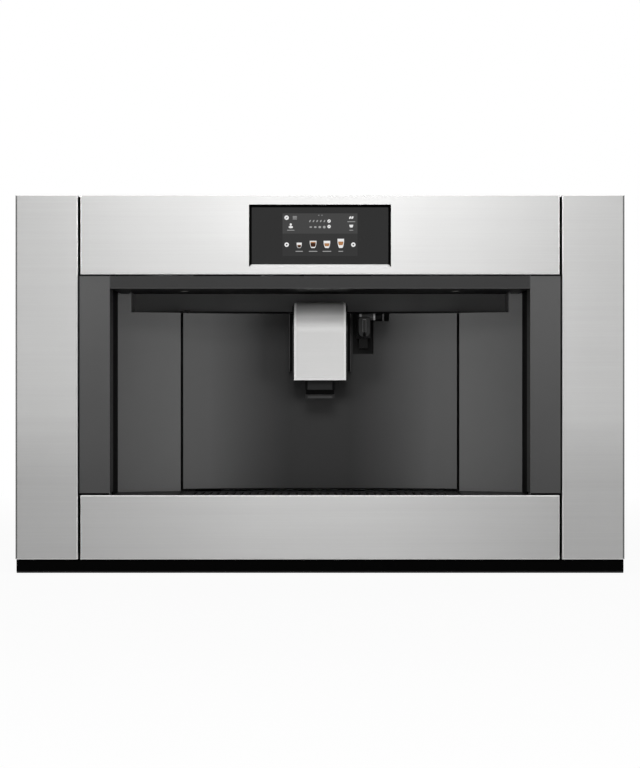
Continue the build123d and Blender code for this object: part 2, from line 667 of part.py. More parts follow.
def grinder():
    """Burr housing, motor and the chute that drops the grounds into the brew unit."""
    body = rod("Z", (grinder_x, grinder_y), 46, 290, hopper_bottom)
    motor = block((grinder_x - 28, grinder_x + 28), (grinder_y - 28, grinder_y + 28), (205, 290))
    body += chamfer(motor.edges().filter_by(Axis.Z), 12)
    body += block((grinder_x + 40, knob_x + 8), (knob_y - 8, knob_y + 8), (325, hopper_bottom))
    chute = block((-84, -54), (270, 300), (brew_z[1], 315))
    body += chute - block((-80, -58), (274, 296), (brew_z[1] - 1, 310))
    return body - rod("Z", (knob_x, knob_y), 3 + running_gap, 330, 350)


def grind_knob():
    """A knob with a notched rim, on the shaft that turns the burrs' ring."""
    z = (chassis_top + sheet + 0.5, chassis_top + 11)
    rim = []
    for step in range(3 * knob_notches):
        radius = knob_radius - (notch_depth if step % 3 == 0 else 0)
        angle = 2 * pi * step / (3 * knob_notches)
        rim.append((radius * cos(angle), radius * sin(angle)))
    knob = Pos(knob_x, knob_y, z[0]) * extrude(make_face(Polyline(*rim, close=True)), z[1] - z[0])
    return knob + rod("Z", (knob_x, knob_y), 3, 331, z[0])


def bean_hopper():
    """The bean hopper: a rim on the top cover and walls that fall to the grinder's throat."""
    top = chassis_top + sheet
    rim = block((hopper_x[0] - 5, hopper_x[1] + 5), (hopper_y[0] - 5, hopper_y[1] + 5), (top, top + 1.5))
    mouth, throat = (hopper_x, hopper_y), (grinder_x, grinder_y, 25.5)
    hopper = rim + funnel(mouth, throat, (hopper_bottom, 410, top + 1), 0.5)
    hopper -= funnel(mouth, throat, (hopper_bottom - 0.5, 410, top + 2), 3)
    hinge = Pos((hopper_x[0] + hopper_x[1]) / 2, hopper_y[1] + 2, top + 1.5 + lid_barrel)
    return hopper + hinge * lid_ears(150, lid_barrel + 1)


def bean_lid():
    middle = (hopper_x[0] + hopper_x[1]) / 2
    hinge = Pos(middle, hopper_y[1] + 2, chassis_top + sheet + 1.5 + lid_barrel)
    return hinge * hinged_lid(150, 212, 3)


def preground_funnel():
    """The chute for ground coffee, from the top cover down to the brew unit."""
    top = chassis_top + sheet
    rim = block((funnel_x[0] - 4, funnel_x[1] + 4), (funnel_y[0] - 4, funnel_y[1] + 4), (top, top + 1.5))
    mouth, foot = (funnel_x, funnel_y), (-5, 272, 17.5)
    chute = rim + funnel(mouth, foot, (brew_z[1], 405, top + 1), 0.5)
    chute -= funnel(mouth, foot, (brew_z[1] - 0.5, 405, top + 2), 2.5)
    hinge = Pos((funnel_x[0] + funnel_x[1]) / 2, funnel_y[1] + 1, top + 1.5 + lid_barrel)
    return chute + hinge * lid_ears(66, lid_barrel + 1)


def preground_lid():
    middle = (funnel_x[0] + funnel_x[1]) / 2
    hinge = Pos(middle, funnel_y[1] + 1, chassis_top + sheet + 1.5 + lid_barrel)
    return hinge * hinged_lid(66, 68, 3)


def pump():
    """A vibration pump: coil, yoke and two hose ends, on a rubber-mounted cradle."""
    centre = (-215, 62)
    coil = block((centre[0] - 17, centre[0] + 17), (235, 300), (centre[1] - 17, centre[1] + 17))
    body = chamfer(coil.edges().filter_by(Axis.Y), 7) + block((-235, -195), (248, 286), (42, 82))
    body += rod("Y", centre, 5, 210, 330)
    return body + block((-228, -202), (252, 282), (pan_floor, 42))


def boiler():
    """The water heater: a cast block with ribs round it, on two feet, with two pipe ends."""
    x, y = -205, 375
    heater = chamfer(block((x - 31, x + 31), (y - 31, y + 31), (110, 230)).edges().filter_by(Axis.Z), 10)
    for z in (128, 148, 168, 188, 208):
        rib = block((x - 35, x + 35), (y - 35, y + 35), (z, z + 4))
        heater += chamfer(rib.edges().filter_by(Axis.Z), 12)
    for side in (-20, 20):
        heater += block((x + side - 5, x + side + 5), (y - 6, y + 6), (pan_floor, 112))
        heater += rod("Z", (x, y + side * 0.7), 4, 228, 250)
    return heater


def control_board():
    """The power board on the left wall, with its relays and connector."""
    board = block((-258, -256), (30, 200), (360, 430))
    for y in (40, 184):
        board += block((wall - chassis_half, -258), (y, y + 6), (365, 371))
    for y in (45, 75, 105):
        board += block((-256, -240), (y, y + 18), (375, 390))
    return board + block((-256, -246), (140, 190), (372, 384))


def tank_seat():
    """The shelf that the water tank slides on, with the socket for its valve."""
    shelf = block((178, 262), (tank_y[0] - 2, tank_y[1] + 2), (tank_z[0] - 4, tank_z[0]))
    for y in (tank_y[0] + 6, tank_y[1] - 18):
        shelf += block((182, 194), (y, y + 12), (pan_floor, tank_z[0] - 4))
        shelf += block((246, 258), (y, y + 12), (pan_floor, tank_z[0] - 4))
    socket = block((168, tank_x[0] - 1.5), (296, 324), (tank_z[0] - 4, 118))
    socket += block((168, 180), (296, 324), (tank_z[0] - 4, tank_z[0]))
    return shelf + socket - rod("X", (310, 103), 7.3, 172, 190)


def water_tank():
    tank = tub(tank_x, tank_y, tank_z, tank_wall, 10)
    tank += rod("X", (310, 103), 7, 173, tank_x[0] + tank_wall)
    tank -= rod("X", (310, 103), 4, 172, tank_x[0] + tank_wall + 1)
    tank += block((tank_x[1] - 8, tank_x[1]), (265, 355), (290, tank_z[1]))
    tank -= block((tank_x[1] - 6, tank_x[1] + 1), (270, 350), (294, tank_z[1] - 4))
    hinge = Pos(tank_x[0] + 6, 310, tank_z[1] + lid_barrel) * Rot(0, 0, 90)
    return tank + hinge * lid_ears(tank_lid_width, lid_barrel + 1)


def tank_lid():
    hinge = Pos(tank_x[0] + 6, 310, tank_z[1] + lid_barrel) * Rot(0, 0, 90)
    return hinge * hinged_lid(tank_lid_width, 68, 2.4)


def mains_inlet():
    """The recessed appliance inlet with three pins, and the frame of the mains switch beside it."""
    out = chassis_back + sheet
    body = block((inlet_x - 15, switch_x + 8), (out - 24, out), (inlet_z - 12, inlet_z + 12))
    body += block((inlet_x - 19, switch_x + 12), (out, out + 2), (inlet_z - 15, inlet_z + 15))
    body -= block((inlet_x - 12, inlet_x + 12), (out - 16, out + 3), (inlet_z - 8.2, inlet_z + 8.2))
    body -= block((switch_x - 6, switch_x + 6), (out - 14, out + 3), (inlet_z - 11, inlet_z + 11))
    for x, z in ((-7, -3), (7, -3), (0, 3.5)):
        pin_x, pin_z = inlet_x + x, inlet_z + z
        body += block((pin_x - 1, pin_x + 1), (out - 17, out - 3), (pin_z - 2, pin_z + 2))
    trunnion = rod("X", (out - 4, inlet_z), 1.2, switch_x - 7, switch_x + 7)
    return body + trunnion


def mains_switch():
    """The rocker, resting with its upper half pressed in."""
    out = chassis_back + sheet
    outline = Polyline(
        (out - 6, inlet_z - 6), (out + 4.5, inlet_z - 8.6), (out + 1.5, inlet_z),
        (out + 1.5, inlet_z + 9.2), (out - 6, inlet_z + 6), close=True,
    )
    rocker = extrude(Plane.YZ * make_face(outline), 5.6, both=True)
    return Pos(switch_x, 0, 0) * rocker - rod("X", (out - 4, inlet_z), 1.25, switch_x - 7, switch_x + 7)


# ---------------------------------------------------------------- the parts, by node name
parts = {
    "cabinet_rail_left": left_of(cabinet_rail_right()),
    "cabinet_rail_right": cabinet_rail_right(),
    "middle_rail_left": left_of(middle_rail_right()),
    "middle_rail_right": middle_rail_right(),
    "inner_rail_left": left_of(inner_rail_right()),
    "inner_rail_right": inner_rail_right(),
    "ball_cages": ball_cages(),
    "base_pan": base_pan(),
    "chassis_side_left": chassis_side_left(),
    "chassis_side_right": chassis_side_right(),
    "rear_panel": rear_panel(),
    "top_cover": top_cover(),
    "trim_carriers": trim_carriers(),
    "trim_panel_left": left_of(trim_panel_right()),
    "trim_panel_right": trim_panel_right(),
    "bottom_trim": bottom_trim(),
    "control_panel": control_panel(),
    "display_glass": display_glass(),
    "display_module": display_module(),
    "front_frame": front_frame(),
    "niche_walls": niche_walls(),
    "niche_ceiling": niche_ceiling(),
    "ceiling_lights": ceiling_lights(),
    "head_plate": head_plate(),
    "side_panel_left": left_of(side_panel_right()),
    "side_panel_right": side_panel_right(),
    "niche_floors": niche_floors(),
    "inner_front": inner_front(),
    "hinge_pins": hinge_pins(),
    "door_skin": door_skin(),
    "door_inner": door_inner(),
    "spout_guide": spout_guide(),
    "spout_cover": spout_cover(),
    "spout_body": spout_body(),
    "spout_nozzle": spout_nozzle(),
    "steam_nozzle": steam_nozzle(),
    "hot_water_spout": hot_water_spout(),
    "drawer_front": drawer_front(),
    "tray_carriage": tray_carriage(),
    "drip_tray": drip_tray(),
    "cup_grille": cup_grille(),
    "tray_float": tray_float(),
    "grounds_container": grounds_container(),
    "brew_unit": brew_unit(),
    "brew_tab_left": brew_tab(-1),
    "brew_tab_right": brew_tab(1),
    "grinder": grinder(),
    "grind_knob": grind_knob(),
    "bean_hopper": bean_hopper(),
    "bean_lid": bean_lid(),
    "preground_funnel": preground_funnel(),
    "preground_lid": preground_lid(),
    "pump": pump(),
    "boiler": boiler(),
    "control_board": control_board(),
    "tank_seat": tank_seat(),
    "water_tank": water_tank(),
    "tank_lid": tank_lid(),
    "mains_inlet": mains_inlet(),
    "mains_switch": mains_switch(),
}

os.makedirs("parts", exist_ok=True)
for name, shape in parts.items():
    export_step(shape, f"parts/{name}.step")
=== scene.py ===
import json
import math

import bpy
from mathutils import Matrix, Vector


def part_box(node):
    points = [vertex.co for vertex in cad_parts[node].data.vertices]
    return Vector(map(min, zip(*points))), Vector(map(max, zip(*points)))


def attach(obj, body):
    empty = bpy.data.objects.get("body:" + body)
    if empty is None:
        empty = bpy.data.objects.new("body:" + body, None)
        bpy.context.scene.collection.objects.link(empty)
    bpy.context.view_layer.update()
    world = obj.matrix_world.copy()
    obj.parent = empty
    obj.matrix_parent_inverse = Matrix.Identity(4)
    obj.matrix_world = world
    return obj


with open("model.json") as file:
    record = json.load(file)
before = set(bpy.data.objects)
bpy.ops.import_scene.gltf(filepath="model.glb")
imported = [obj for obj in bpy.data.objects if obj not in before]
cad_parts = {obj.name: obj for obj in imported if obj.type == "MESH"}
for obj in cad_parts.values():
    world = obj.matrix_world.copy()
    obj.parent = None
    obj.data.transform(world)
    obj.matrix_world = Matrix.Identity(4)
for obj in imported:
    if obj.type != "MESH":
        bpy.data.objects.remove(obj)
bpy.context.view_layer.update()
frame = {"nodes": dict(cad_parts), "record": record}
nodes = frame["nodes"]
scene = bpy.context.scene
print("frame loaded:", len(nodes), "nodes")


# one socket of a shader, so that masks and amounts can be written as sums
class Wire:
    def __init__(self, shader, socket):
        self.shader = shader
        self.socket = socket

    def maths(self, operation, first, second=0.0):
        return self.shader.add("ShaderNodeMath", {"operation": operation}, {0: first, 1: second})

    def __abs__(self):
        return self.maths("ABSOLUTE", self)

    def __add__(self, other):
        return self.maths("ADD", self, other)

    def __radd__(self, other):
        return self.maths("ADD", other, self)

    def __sub__(self, other):
        return self.maths("SUBTRACT", self, other)

    def __rsub__(self, other):
        return self.maths("SUBTRACT", other, self)

    def __mul__(self, other):
        return self.maths("MULTIPLY", self, other)

    def __pow__(self, other):
        return self.maths("POWER", self, other)

    # 0 below low, 1 above high, and a straight ramp between them
    def ramp(self, low, high):
        values = {"Value": self, "From Min": low, "From Max": high, "To Min": 0.0, "To Max": 1.0}
        return self.shader.add("ShaderNodeMapRange", {"clamp": True}, values)


class Shader:
    def __init__(self, name):
        self.material = bpy.data.materials.new(name)
        self.material.use_nodes = True
        self.tree = self.material.node_tree
        self.tree.nodes.clear()
        self.output = self.tree.nodes.new("ShaderNodeOutputMaterial")

    def add(self, kind, settings=None, values=None, out=0):
        node = self.tree.nodes.new(kind)
        for key, value in (settings or {}).items():
            setattr(node, key, value)
        for key, value in (values or {}).items():
            if isinstance(value, Wire):
                self.tree.links.new(value.socket, node.inputs[key])
            else:
                node.inputs[key].default_value = value
        return Wire(self, node.outputs[out])

    # a place on the object, in metres, stretched by a number for each axis
    def place(self, stretch=(1, 1, 1)):
        coordinates = self.add("ShaderNodeTexCoord", out="Object")
        values = {0: coordinates, 1: stretch}
        return self.add("ShaderNodeVectorMath", {"operation": "MULTIPLY"}, values)

    def axis(self, letter):
        values = {0: self.add("ShaderNodeTexCoord", out="Object")}
        return self.add("ShaderNodeSeparateXYZ", values=values, out=letter)

    def noise(self, stretch, detail=2.0, roughness=0.5):
        values = {"Vector": self.place(stretch), "Scale": 1.0, "Detail": detail, "Roughness": roughness}
        return self.add("ShaderNodeTexNoise", values=values)

    def mix(self, amount, first, second):
        settings = {"data_type": "RGBA", "blend_type": "MIX"}
        return self.add("ShaderNodeMix", settings, {"Factor": amount, 6: first, 7: second}, out=2)

    # colour times a factor that goes from low to high between two places on an axis: painted light and shade
    def paintShading(self, colour, fade):
        place = self.axis(fade["axis"])
        place = abs(place) if fade["axis"] == "X" else place
        factor = place.ramp(*fade["span"]) * (fade["high"] - fade["low"]) + fade["low"]
        dimmed = {0: colour, "Scale": factor}
        return self.add("ShaderNodeVectorMath", {"operation": "SCALE"}, dimmed)

    def bump(self, height, strength, distance):
        values = {"Height": height, "Strength": strength, "Distance": distance}
        return self.add("ShaderNodeBump", values=values)

    def surface(self, **values):
        sockets = {key.replace("_", " "): value for key, value in values.items()}
        principled = self.add("ShaderNodeBsdfPrincipled", values=sockets)
        self.tree.links.new(principled.socket, self.output.inputs["Surface"])
        return self.material


def grey(level, tint=(1, 1, 1)):
    return (level * tint[0], level * tint[1], level * tint[2], 1)


# finishes: each look is one dictionary, with levels as linear grey and lengths in metres
steelLook = {
    "level": 0.345, "tint": (1.0, 0.997, 0.99), "roughness": 0.36, "roughnessSpread": 0.08,
    "streak": 0.03, "anisotropic": 0.6, "rotation": 0.25, "bump": 0.08, "metallic": 1.0,
}
# painted light and shade: the control panel darker in its middle and lighter towards its ends
panelLook = {**steelLook, "paintedShading": ({"axis": "X", "span": (0.05, 0.30), "low": 0.96, "high": 1.06},)}
# painted shade: the drawer front darker towards its ends
drawerLook = {**steelLook, "paintedShading": ({"axis": "X", "span": (0.08, 0.30), "low": 1.01, "high": 0.885},)}
# painted light and shade: the side trims lighter towards the top and darker towards the bottom, with a
# painted shade band along their outer edges
trimLook = {**steelLook, "paintedShading": (
    {"axis": "Z", "span": (0.10, 0.19), "low": 0.88, "high": 1.06},
    {"axis": "X", "span": (0.3766, 0.3772), "low": 1.0, "high": 0.33},
)}


def brushedSteel(name, look):
    # streaks are long along X, the brushing, and fine across it
    shader = Shader(name)
    fine = shader.noise((5, 900, 900), detail=3.0)
    broad = shader.noise((1.6, 160, 160))
    streaks = fine * 0.65 + broad * 0.35
    dark = grey(look["level"] * (1 - look["streak"]), look["tint"])
    light = grey(look["level"] * (1 + look["streak"]), look["tint"])
    colour = shader.mix(streaks.ramp(0.3, 0.7), dark, light)
    # painted light and shade, from the look's list of factors
    for fade in look.get("paintedShading", ()):
        colour = shader.paintShading(colour, fade)
    smudge = shader.noise((9, 9, 9), detail=2.0).ramp(0.35, 0.75)
    roughness = look["roughness"] + (streaks - 0.5) * look["roughnessSpread"] + smudge * 0.03
    metallic = look["metallic"]
    # painted light: less metallic above a height, where the look asks for it
    if "satin" in look:
        metallic = metallic - shader.axis("Z").ramp(*look["satin"]["span"]) * look["satin"]["loss"]
    return shader.surface(
        Base_Color=colour, Metallic=metallic, Roughness=roughness, Anisotropic=look["anisotropic"],
        Anisotropic_Rotation=look["rotation"], Normal=shader.bump(fine, look["bump"], 0.00002),
    )


paintLook = {"level": 0.060, "roughness": 0.42, "peel": 0.12, "coat": 0.05, "shine": 0.3}
# painted shade on the front frame: darker towards the bottom, down to about half, and the strip over the bay
# painted nearly black
frameLook = {
    **paintLook, "header": {"level": 0.002, "bottom": (0.3400, 0.3435), "side": (0.2610, 0.2625)},
    "paintedShading": ({"axis": "Z", "span": (0.09, 0.34), "low": 0.53, "high": 1.0},),
}
# painted light and shade on the door: darker towards its middle, and lighter towards its top
doorLook = {
    "level": 0.075, "middle": 0.012, "middleHalf": 0.040, "edgeHalf": 0.145, "fade": 1.2,
    "roughness": 0.38, "peel": 0.12, "coat": 0.0, "shine": 0.25,
    "paintedShading": ({"axis": "Z", "span": (0.285, 0.316), "low": 0.90, "high": 1.22},),
}


def satinPaint(name, look):
    # a powder coat: fine orange peel, and slightly uneven gloss
    shader = Shader(name)
    peel = shader.noise((700, 700, 700), detail=2.0)
    cloud = shader.noise((14, 14, 14), detail=2.0)
    level = look["level"]
    colour = shader.mix(cloud.ramp(0.3, 0.7), grey(level * 0.96), grey(level * 1.04))
    # painted shade: darker towards the middle of the door
    if "middle" in look:
        edge = abs(shader.axis("X")).ramp(look["middleHalf"], look["edgeHalf"]) ** look["fade"]
        colour = shader.mix(edge, grey(look["middle"]), colour)
    metallic = 0.0
    if "gapShadowLevel" in look:
        # painted shadow in the gap over the door: black and metallic together keep this band free of any
        # sheen
        above = shader.axis("Z").ramp(*look["gapShadowTop"])
        colour = shader.mix(above, grey(look["gapShadowLevel"]), colour)
        metallic = 1 - above
    # painted shade: the frame over the bay nearly black
    if "header" in look:
        header = look["header"]
        overBay = shader.axis("Z").ramp(*header["bottom"]) * (1 - abs(shader.axis("X")).ramp(*header["side"]))
        colour = shader.mix(overBay, colour, grey(header["level"]))
    # painted light and shade, from the look's list of factors
    for fade in look.get("paintedShading", ()):
        colour = shader.paintShading(colour, fade)
    roughness = look["roughness"] + (peel - 0.5) * 0.10 + (cloud - 0.5) * 0.06
    return shader.surface(
        Base_Color=colour, Metallic=metallic, Roughness=roughness,
        Coat_Weight=look["coat"], Coat_Roughness=0.3, Specular_IOR_Level=look["shine"],
        Normal=shader.bump(peel, look["peel"], 0.00005),
    )


blackPaintLook = {"level": 0.004, "roughness": 0.45, "peel": 0.10, "coat": 0.0, "shine": 0.12}
# sheen-free black; on the trim carriers it stands as painted shade in the seams between the panels
stripLook = {"level": 0.001, "roughness": 0.5, "peel": 0.08, "coat": 0.0, "shine": 0.01}
plasticLook = {"level": 0.006, "roughness": 0.38, "grain": 0.16, "shine": 0.14}
innerPlasticLook = {"level": 0.035, "roughness": 0.5, "grain": 0.2, "shine": 0.5}
tabLook = {"level": 0.25, "roughness": 0.45, "grain": 0.15, "shine": 0.5}


def mouldedPlastic(name, look):
    # an eroded mould grain with worn, shinier high spots
    shader = Shader(name)
    grain = shader.noise((1400, 1400, 1400), detail=3.0, roughness=0.6)
    wear = shader.noise((30, 30, 30), detail=3.0).ramp(0.45, 0.8)
    level = look["level"]
    colour = shader.mix(grain.ramp(0.3, 0.7), grey(level * 0.9), grey(level * 1.15))
    roughness = look["roughness"] + (grain - 0.5) * 0.16 - wear * 0.05
    return shader.surface(
        Base_Color=colour, Roughness=roughness, Specular_IOR_Level=look["shine"],
        Normal=shader.bump(grain, look["grain"], 0.00004),
    )


crossbarLook = {
    **plasticLook, "level": 0.085,
    "band": 0.58, "bands": ((0.0518, 0.0546), (0.0700, 0.0728)), "blur": 0.0002,
}


def bandedPlastic(name, look):
    # the crossbar has a brighter collar at each end; its plastic is a lighter copy of the black plastic, as
    # painted light against the shade at its top
    shader = Shader(name)
    x = shader.axis("X")
    blur = look["blur"]
    collars = 0.0
    for start, end in look["bands"]:
        collars = collars + x.ramp(start, start + blur) - x.ramp(end, end + blur)
    colour = shader.mix(collars, grey(look["level"]), grey(look["band"]))
    return shader.surface(Base_Color=colour, Roughness=look["roughness"], Specular_IOR_Level=look["shine"])


zincLook = {"level": 0.42, "roughness": 0.42, "tint": (0.98, 1, 1.02), "scale": 130.0}
# painted light on the spout cover: a lighter copy of the other steel, and its rounded top less metallic and
# up to 1.85 times lighter, easing back to about its plain level at the top edge
coverLook = {
    **steelLook, "level": 0.44, "roughness": 0.52, "anisotropic": 0.3,
    "satin": {"span": (0.296, 0.309), "loss": 0.58},
    "paintedShading": (
        {"axis": "Z", "span": (0.298, 0.311), "low": 1.0, "high": 1.85},
        {"axis": "Z", "span": (0.311, 0.3294), "low": 1.0, "high": 0.52},
    ),
}
# painted light: the side panels' paint is a lighter copy of the frame's, and lighter still towards the top
sideLook = {
    **paintLook, "level": 0.077, "paintedShading": ({"axis": "Z", "span": (0.300, 0.336), "low": 1.06, "high": 1.6},),
}
# the niche walls' black, made darker and sheen-free as painted shade in the recess
nicheLook = {**blackPaintLook, "level": 0.001, "shine": 0.01}
grilleLook = {**paintLook, "level": 0.012, "shine": 0.15, "roughness": 0.5}
# painted light and shade on the head plate: lighter towards its ends, up to 2.2 times, and a black band at
# its lower edge as painted shadow over the door
headLook = {
    **paintLook, "level": 0.045, "shine": 0.15, "gapShadowLevel": 0.001, "gapShadowTop": (0.3183, 0.3187),
    "paintedShading": ({"axis": "X", "span": (0.13, 0.24), "low": 1.0, "high": 2.2},),
}


def galvanised(name, look):
    # hot-dip spangle: flat crystals that differ in tone and gloss
    shader = Shader(name)
    values = {"Vector": shader.place(), "Scale": look["scale"]}
    crystal = shader.add("ShaderNodeTexVoronoi", {"feature": "F1"}, values, out="Color")
    tone = shader.add("ShaderNodeSeparateColor", values={0: crystal}, out=0)
    dark, light = (grey(look["level"] * part, look["tint"]) for part in (0.93, 1.06))
    colour = shader.mix(tone, dark, light)
    roughness = look["roughness"] + (tone - 0.5) * 0.16
    return shader.surface(Base_Color=colour, Metallic=1.0, Roughness=roughness)


railLook = {"level": 0.50, "roughness": 0.30}


def platedSteel(name, look):
    # zinc plate with faint drawing marks along the rail
    shader = Shader(name)
    drawn = shader.noise((500, 4, 500), detail=2.0)
    colour = shader.mix(drawn.ramp(0.3, 0.7), grey(look["level"] * 0.93), grey(look["level"] * 1.05))
    return shader.surface(Base_Color=colour, Metallic=1.0, Roughness=look["roughness"] + (drawn - 0.5) * 0.12)


glassLook = {"level": 0.0015, "roughness": 0.05, "film": 0.03, "ior": 1.43}


def darkGlass(name, look):
    # a faint film of grease dulls parts of the glass
    shader = Shader(name)
    film = shader.noise((40, 40, 40), detail=2.0)
    roughness = look["roughness"] + film.ramp(0.45, 0.8) * look["film"]
    return shader.surface(Base_Color=grey(look["level"]), Roughness=roughness, IOR=look["ior"])


smokedLook = {
    "level": 0.55, "tint": (0.96, 0.98, 1.0), "roughness": 0.08, "flow": 0.06,
    "transmission": 0.82, "ior": 1.45,
}


def smokedPlastic(name, look):
    # flow lines of the moulding lie level
    shader = Shader(name)
    flow = shader.noise((6, 6, 30), detail=2.0)
    return shader.surface(
        Base_Color=grey(look["level"], look["tint"]), Roughness=look["roughness"] + flow * look["flow"],
        Transmission_Weight=look["transmission"], IOR=look["ior"],
    )


lampLook = {"colour": grey(0.5, (1, 0.98, 0.94)), "strength": 0.25, "roughness": 0.3}


def glowing(name, look):
    shader = Shader(name)
    return shader.surface(
        Base_Color=look["colour"], Roughness=look["roughness"],
        Emission_Color=look["colour"], Emission_Strength=look["strength"],
    )


def flatInk(name, colour):
    # screen pictures: their own light, with a weak gloss like that of the glass round them
    shader = Shader(name)
    cell = shader.noise((2500, 2500, 2500), detail=0.0)
    tone = shader.mix(cell.ramp(0.3, 0.7), tuple(0.94 * c for c in colour[:3]) + (1,), colour)
    return shader.surface(
        Base_Color=grey(0.0), Roughness=0.08, IOR=1.2, Emission_Color=tone, Emission_Strength=1.0,
    )


boardLook = {
    "board": (0.010, 0.060, 0.022, 1), "track": (0.030, 0.120, 0.050, 1), "scale": 120.0, "roughness": 0.35,
}


def circuitBoard(name, look):
    # the joints of a brick pattern stand for the tracks
    shader = Shader(name)
    values = {"Vector": shader.place(), "Scale": look["scale"]}
    tracks = shader.add("ShaderNodeTexBrick", values=values, out="Fac")
    colour = shader.mix(tracks, look["board"], look["track"])
    return shader.surface(Base_Color=colour, Roughness=look["roughness"])


screenFrameLook = {"level": 0.003, "roughness": 0.2, "grain": 0.05, "shine": 0.2}


finishes = {
    "steel": brushedSteel("brushedSteel", steelLook),
    "grey_paint": satinPaint("anthracitePaint", paintLook),
    "black_paint": satinPaint("blackPaint", blackPaintLook),
    "zinc_sheet": galvanised("galvanisedSheet", zincLook),
    "rail_steel": platedSteel("railPlate", railLook),
    "black_plastic": mouldedPlastic("blackPlastic", plasticLook),
    "inner_plastic": mouldedPlastic("charcoalPlastic", innerPlasticLook),
    "tab_plastic": mouldedPlastic("tabPlastic", tabLook),
    "screen_plastic": mouldedPlastic("screenFramePlastic", screenFrameLook),
    "screen_glass": darkGlass("screenGlass", glassLook),
    "lens": glowing("lampLens", lampLook),
    "grille_steel": brushedSteel("grilleSteel", {**steelLook, "level": 0.10, "roughness": 0.45}),
    "clear_plastic": smokedPlastic("smokedPlastic", smokedLook),
    "pump_metal": platedSteel("pumpPlate", {"level": 0.40, "roughness": 0.35}),
    "boiler_metal": platedSteel("boilerMetal", {"level": 0.52, "roughness": 0.45}),
    "board": circuitBoard("circuitBoard", boardLook),
}
slotOf = {part["node"]: part["material_slot"] for part in frame["record"]["subparts"]}
for name, obj in nodes.items():
    obj.data.materials.clear()
    obj.data.materials.append(finishes[slotOf[name]])
print("finishes given to the frame:", len(finishes))


# nodes whose finish differs from their slot's plain one
ownFinish = {
    "front_frame": satinPaint("framePaint", frameLook),
    "niche_walls": satinPaint("nichePaint", nicheLook),
    "control_panel": brushedSteel("panelSteel", panelLook),
    "drawer_front": brushedSteel("drawerSteel", drawerLook),
    "trim_panel_left": brushedSteel("trimSteel", trimLook),
    "bottom_trim": satinPaint("stripPaint", stripLook),
    "door_skin": satinPaint("doorPaint", doorLook),
    "spout_cover": brushedSteel("coverSteel", coverLook),
    # the guide's black plastic, made darker and sheen-free, partly as painted shade beside the cover
    "spout_guide": mouldedPlastic("guidePlastic", {**plasticLook, "level": 0.002, "shine": 0.03}),
    "hot_water_spout": mouldedPlastic("capsulePlastic", {**plasticLook, "level": 0.014}),
    "trim_carriers": satinPaint("carrierPaint", stripLook),
    "hinge_pins": platedSteel("blackenedPin", {"level": 0.012, "roughness": 0.5}),
    "side_panel_left": satinPaint("sidePaint", sideLook),
    "head_plate": satinPaint("headPaint", headLook),
    "cup_grille": satinPaint("grilleCoat", grilleLook),
}
ownFinish["side_panel_right"] = ownFinish["side_panel_left"]
ownFinish["trim_panel_right"] = ownFinish["trim_panel_left"]
for name, material in ownFinish.items():
    nodes[name].data.materials[0] = material
# lighter and darker copies of the finishes, for bevels, edges and gaps picked out below: most are painted
# highlights and painted shade
bevels = {
    "edgeHighlight": brushedSteel("bevelHighlight", {**steelLook, "level": 0.80, "roughness": 0.30}),
    "lower": brushedSteel("lowerBevelHighlight", {**steelLook, "level": 0.85, "roughness": 0.40, "metallic": 0.3}),
    "cover": brushedSteel("coverEdgeHighlight", {**steelLook, "level": 0.80, "roughness": 0.55, "metallic": 0.1}),
    "return": satinPaint("returnShade", {**paintLook, "level": 0.024}),
    "carrierBack": satinPaint("carrierBack", {**paintLook, "level": 0.022}),
    "strip": satinPaint("stripEdgeLight", {**paintLook, "level": 0.016}),
    "guide": mouldedPlastic("guideEdgeHighlight", {**plasticLook, "level": 0.075}),
    "crossbar": bandedPlastic("crossbarPlastic", crossbarLook),
    "edgeShade": brushedSteel("bevelPaintedShade", {**steelLook, "level": 0.14, "roughness": 0.40}),
    "black": satinPaint("bevelBlack", {**blackPaintLook, "level": 0.001, "shine": 0.02}),
    "lipHighlight": mouldedPlastic("lipHighlightPlastic", {**plasticLook, "level": 0.035}),
    "chrome": platedSteel("outletChrome", {"level": 0.07, "roughness": 0.40}),
}


# a second finish for the faces whose centre and normal, in metres, pass the test
def paintFaces(name, material, test):
    obj = nodes[name]
    obj.data.materials.append(material)
    turn = obj.matrix_world.to_3x3()
    count = 0
    for face in obj.data.polygons:
        if test(obj.matrix_world @ face.center, turn @ face.normal):
            face.material_index = len(obj.data.materials) - 1
            count += 1
    return count


# limits on a face's centre, in metres, that pick it out
edges = {
    "cutoutHalf": 0.0895, "cutoutZ": (0.3680, 0.4475), "returnHalf": 0.264, "sideHalf": 0.19,
    "nozzleBand": (0.2099, 0.2157), "drainX": (0.0820, 0.0844),
    "crossbarX": 0.074, "crossbarY": 0.1570, "crossbarZ": 0.3068,
}


def slanted(centre, normal):
    return 0.3 < -normal.y < 0.9


def inCutout(centre):
    low, high = edges["cutoutZ"]
    return abs(centre.x) < edges["cutoutHalf"] and low < centre.z < high


def onCrossbar(centre):
    inFront, left = centre.y < edges["crossbarY"], centre.x < edges["crossbarX"]
    return centre.z > edges["crossbarZ"] and inFront and left


